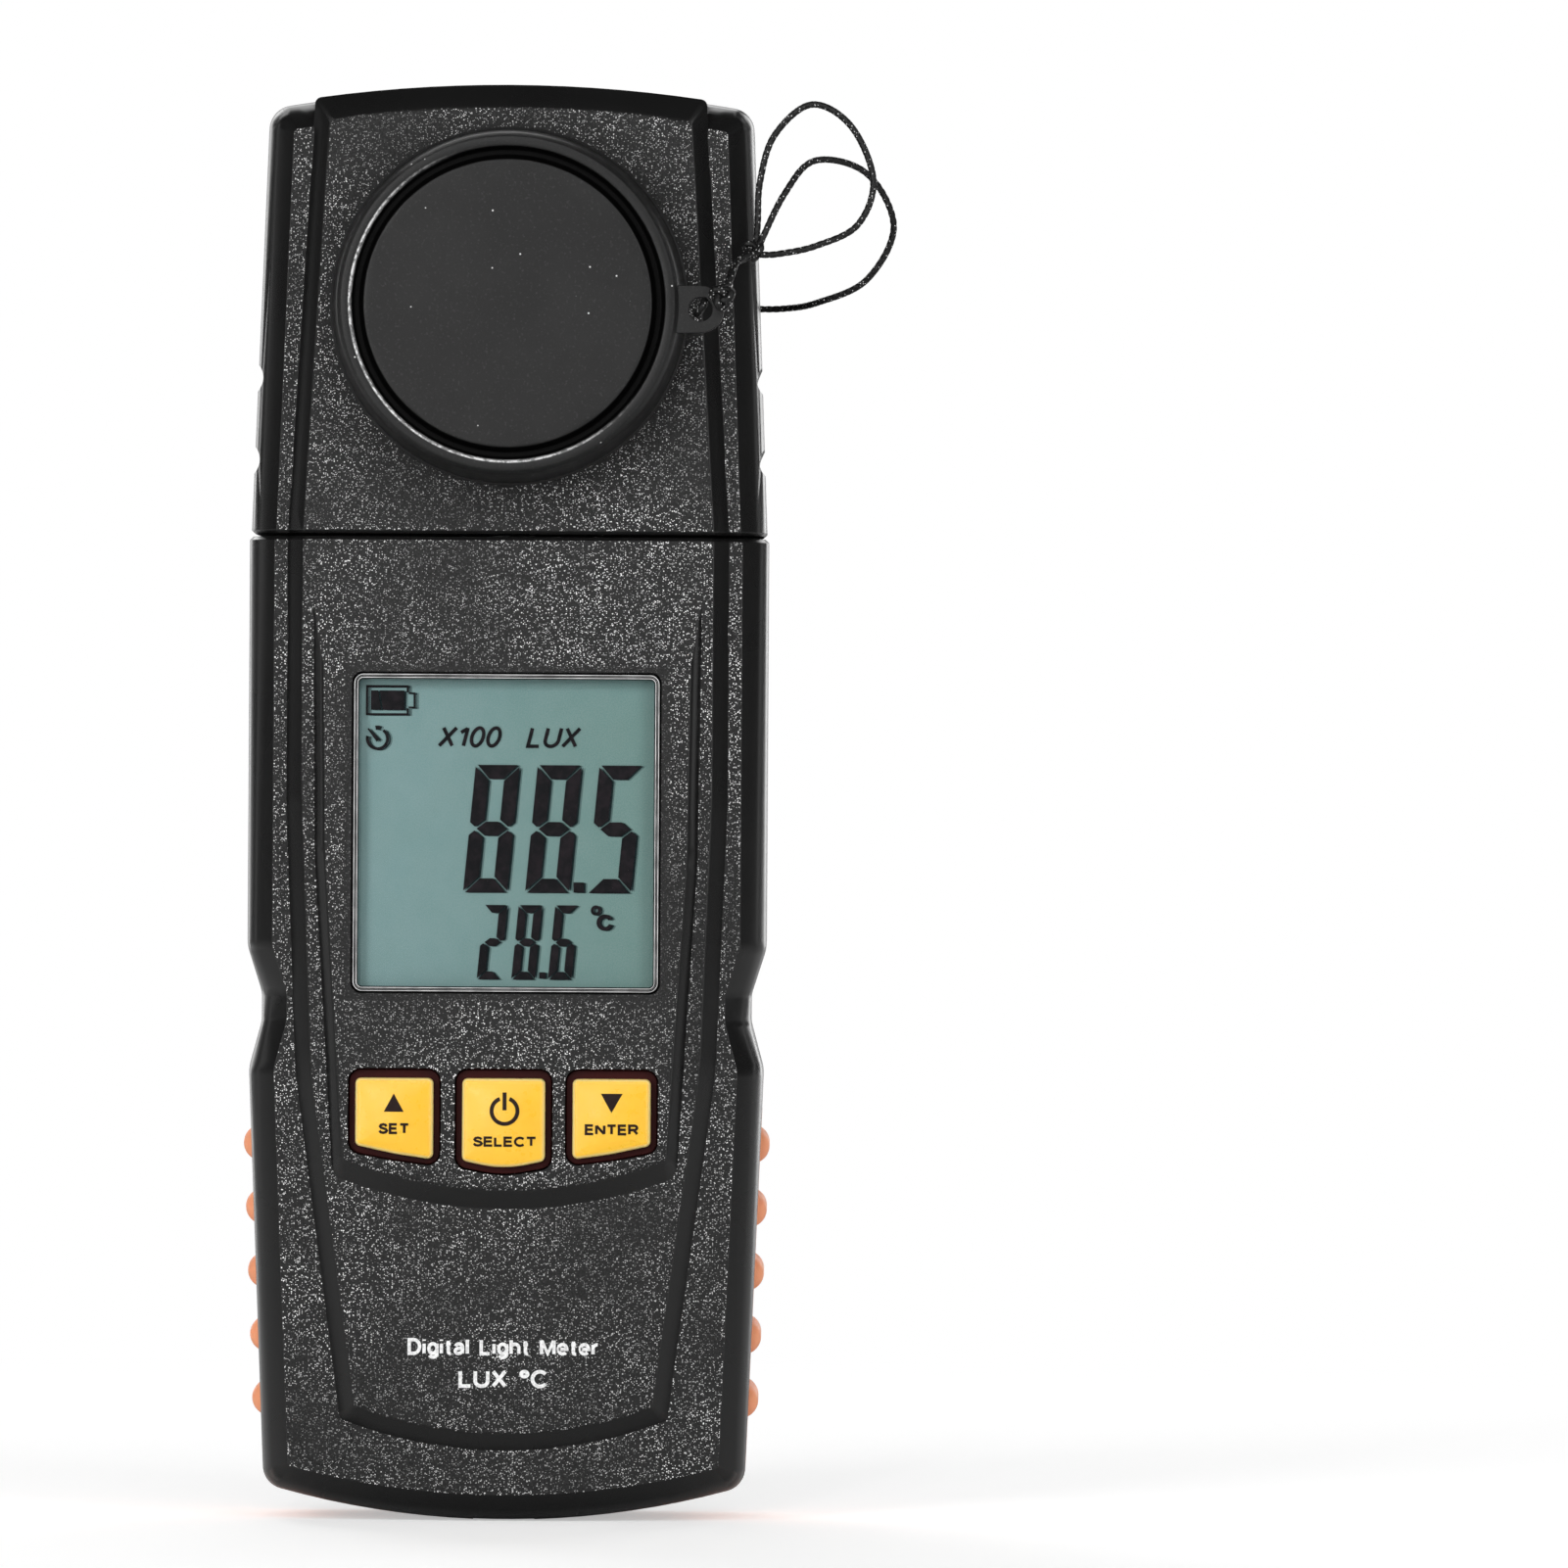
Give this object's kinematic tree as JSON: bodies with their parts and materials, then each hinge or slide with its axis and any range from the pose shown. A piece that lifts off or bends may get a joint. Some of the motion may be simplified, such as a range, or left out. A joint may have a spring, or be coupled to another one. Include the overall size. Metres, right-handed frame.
{
  "type": "light meter",
  "caption": "Hand-held digital light meter with a display, yellow keys, orange side grips and a swivelling sensor head under a round push-on cap.",
  "frame": {"origin": "on the flat back face, midway along the length and width", "axes": "+Z along the length towards the sensor head, +Y out of the back face, +X to the right when looking at the display"},
  "size_m": [0.0922, 0.0509, 0.203],
  "materials": {
    "case_plastic": "fine spark-eroded grain with smooth bevels",
    "door_plastic": "fine spark-eroded grain",
    "cap_plastic": "soft satin",
    "grip_rubber": "soft-touch elastomer",
    "key_yellow": "satin gloss",
    "key_silicone": "matt silicone",
    "carbon": "matt",
    "window_clear": "polished",
    "lcd_cell": "grey-green reflective display",
    "frame_white": "moulded",
    "light_guide": "opal",
    "zebra_rubber": "matt",
    "circuit_board": "solder mask",
    "chip_black": "moulded epoxy",
    "connector_white": "moulded",
    "steel": "zinc plated",
    "spring_steel": "nickel plated",
    "bush_plastic": "natural acetal",
    "spindle_plastic": "glass-filled nylon",
    "cell_jacket": "printed film jacket",
    "cable_jacket": "pvc",
    "cord_braid": "braided polyester",
    "opal_diffuser": "opal acrylic, matt face",
    "filter_glass": "polished",
    "diode_ceramic": "ceramic with silicon window",
    "thermistor_bead": "epoxy dipped"
  },
  "bodies": {
    "case": {"battery_cells": "cell_jacket", "battery_plates": "spring_steel", "battery_springs": "spring_steel", "board_chips": "chip_black", "board_screws": "steel", "body_front_shell": "case_plastic", "body_rear_shell": "case_plastic", "body_screws": "steel", "cable_plug": "connector_white", "grip_band": "grip_rubber", "keypad_mat": "key_silicone", "lcd_backlight": "light_guide", "lcd_connectors": "zebra_rubber", "lcd_frame": "frame_white", "lcd_glass": "lcd_cell", "lcd_window": "window_clear", "main_board": "circuit_board", "swivel_bush": "bush_plastic", "thermistor": "thermistor_bead", "usb_socket": "steel", "wave_washer": "spring_steel"},
    "head": {"head_front_shell": "case_plastic", "head_rear_shell": "case_plastic", "head_screws": "steel", "sensor_collar": "case_plastic", "diffuser_dome": "opal_diffuser", "filter_holder": "case_plastic", "colour_filter": "filter_glass", "photodiode": "diode_ceramic", "sensor_board": "circuit_board", "sensor_board_screws": "steel", "sensor_plug": "connector_white", "swivel_spindle": "spindle_plastic", "spindle_clip": "spring_steel", "stop_pin": "steel", "sensor_cable": "cable_jacket", "cap_cord": "cord_braid"},
    "cap": {"sensor_cap": "cap_plastic"},
    "door": {"battery_door": "door_plastic"},
    "set_key": {"set_button": "key_yellow", "set_key_base": "key_silicone", "set_contact": "carbon"},
    "select_key": {"select_button": "key_yellow", "select_key_base": "key_silicone", "select_contact": "carbon"},
    "enter_key": {"enter_button": "key_yellow", "enter_key_base": "key_silicone", "enter_contact": "carbon"}
  },
  "joints": [
    {"name": "head_swivel", "type": "hinge", "parent": "case", "child": "head", "pos_m": [0, -0.018, 0.0378], "axis": [0, 0, 1], "range_deg": [-90, 180]},
    {"name": "cap_lift", "type": "slide", "parent": "head", "child": "cap", "axis": [0, -1, 0], "range_m": [0, 0.035], "deforming": ["cap_cord"]},
    {"name": "battery_door_hinge", "type": "hinge", "parent": "case", "child": "door", "pos_m": [0, -0.0013, -0.085], "axis": [-1, 0, 0], "range_deg": [0, 80]},
    {"name": "set_press", "type": "slide", "parent": "case", "child": "set_key", "axis": [0, 1, 0], "range_m": [0, 0.001], "stiffness_N_per_m": 900, "springref_m": -0.0012, "deforming": ["keypad_mat"]},
    {"name": "select_press", "type": "slide", "parent": "case", "child": "select_key", "axis": [0, 1, 0], "range_m": [0, 0.001], "stiffness_N_per_m": 900, "springref_m": -0.0012, "deforming": ["keypad_mat"]},
    {"name": "enter_press", "type": "slide", "parent": "case", "child": "enter_key", "axis": [0, 1, 0], "range_m": [0, 0.001], "stiffness_N_per_m": 900, "springref_m": -0.0012, "deforming": ["keypad_mat"]}
  ]
}
